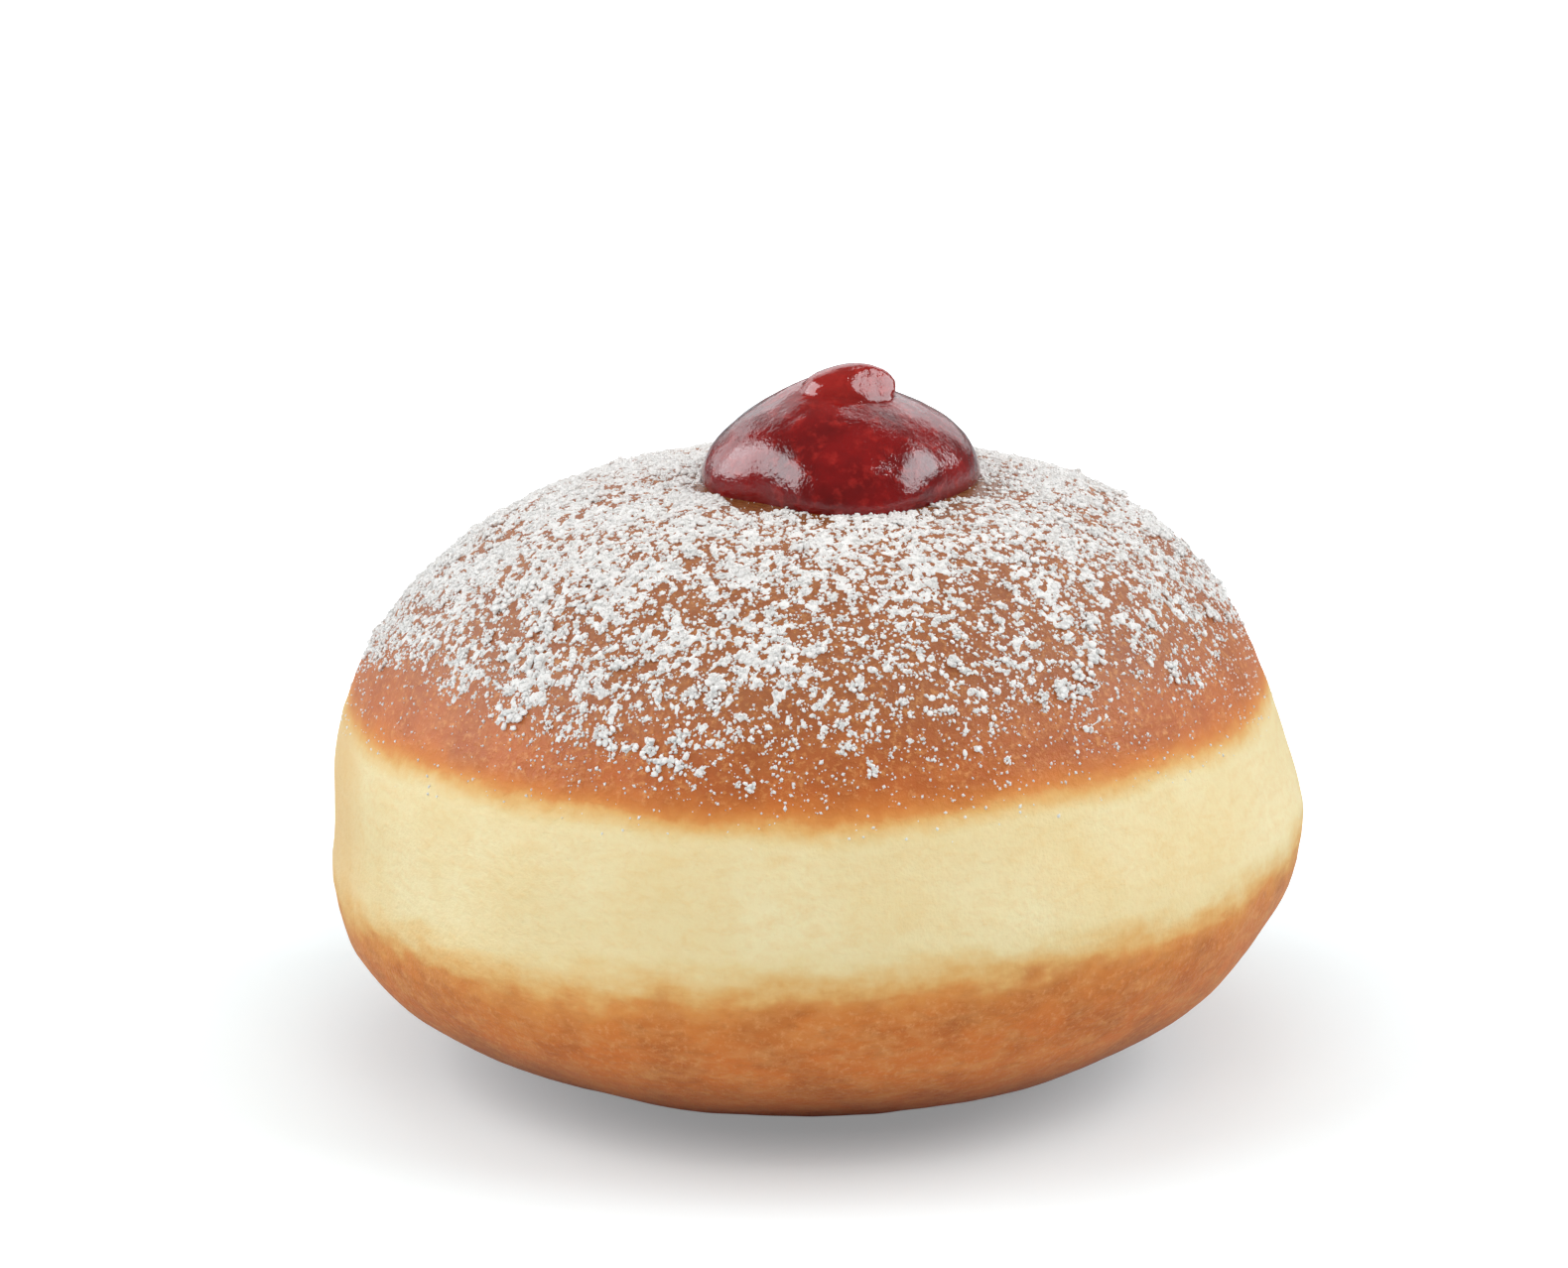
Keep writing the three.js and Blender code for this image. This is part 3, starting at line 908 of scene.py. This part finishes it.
def add_panel(name, heading, height, distance, width, tallness, brightness, colour, mirrored):
    """A soft lamp that faces the crown, from a heading and height in degrees: either one that the
    glossy jelly mirrors, or one that only lights what is matt."""
    lamp = bpy.data.lights.new(name, "AREA")
    lamp.color = colour
    lamp.shape = "RECTANGLE"
    lamp.size = width
    lamp.size_y = tallness
    lamp.energy = brightness * math.pi * width * tallness
    panel = bpy.data.objects.new(name, lamp)
    turn = math.radians(heading)
    rise = math.radians(height)
    toward = Vector((math.cos(turn) * math.cos(rise), math.sin(turn) * math.cos(rise), math.sin(rise)))
    panel.location = bun_axis + Vector((0, 0, CROWN_RISE)) + distance * toward
    panel.rotation_euler = toward.to_track_quat("Z", "Y").to_euler()
    panel.visible_camera = False
    panel.visible_glossy = mirrored
    panel.visible_diffuse = not mirrored
    bpy.context.scene.collection.objects.link(panel)


add_panel("left_light", 190, 34, 0.65, 0.74, 0.5, 2.25, WHITE_LIGHT, mirrored=False)
add_panel("right_light", 356, 34, 0.65, 0.62, 0.42, 3.1, WHITE_LIGHT, mirrored=False)
add_panel("front_light", 270, 38, 0.8, 0.7, 0.4, 2.25, WARM_LIGHT, mirrored=False)
add_panel("top_light", 90, 78, 0.8, 0.9, 0.9, 0.35, WHITE_LIGHT, mirrored=False)
add_panel("left_mirrored", 179, 26, 0.8, 0.6, 0.56, 6.8, COOL_LIGHT, mirrored=True)
add_panel("side_mirrored", 144, 20, 0.8, 0.46, 0.5, 2.5, COOL_LIGHT, mirrored=True)
add_panel("left_rear_mirrored", 116, 34, 0.9, 0.33, 0.38, 1.2, COOL_LIGHT, mirrored=True)
add_panel("right_mirrored", 7, 28, 0.65, 0.45, 0.42, 6.4, COOL_LIGHT, mirrored=True)
add_panel("right_rear_mirrored", 64, 36, 0.9, 0.35, 0.36, 1.4, COOL_LIGHT, mirrored=True)
add_panel("rear_mirrored", 84, 20, 0.95, 1.3, 0.5, 1.35, COOL_LIGHT, mirrored=True)
add_panel("thread_mirrored", 66, 56, 1.0, 0.4, 0.06, 4.0, COOL_LIGHT, mirrored=True)
add_panel("spot_mirrored", 340, 60, 0.8, 0.03, 0.06, 40.0, COOL_LIGHT, mirrored=True)

camera_data = bpy.data.cameras.new("camera")
camera_data.lens = CAMERA_LENS
camera_data.sensor_width = 36
camera_data.clip_end = 20
camera = bpy.data.objects.new("camera", camera_data)
camera_back = Vector((0, -math.cos(CAMERA_ELEVATION), math.sin(CAMERA_ELEVATION)))
camera.location = bun_axis + CAMERA_DISTANCE * camera_back + Vector((CAMERA_SIDE, 0, 0))
aim = bun_axis + Vector((CAMERA_SIDE, 0, AIM_HEIGHT))
camera.rotation_euler = (aim - camera.location).to_track_quat("-Z", "Y").to_euler()
bpy.context.scene.collection.objects.link(camera)
bpy.context.scene.camera = camera

sizes = {"cad": [list(corner) for corner in cad_box],
         "visual": [list(corner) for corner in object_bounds()]}
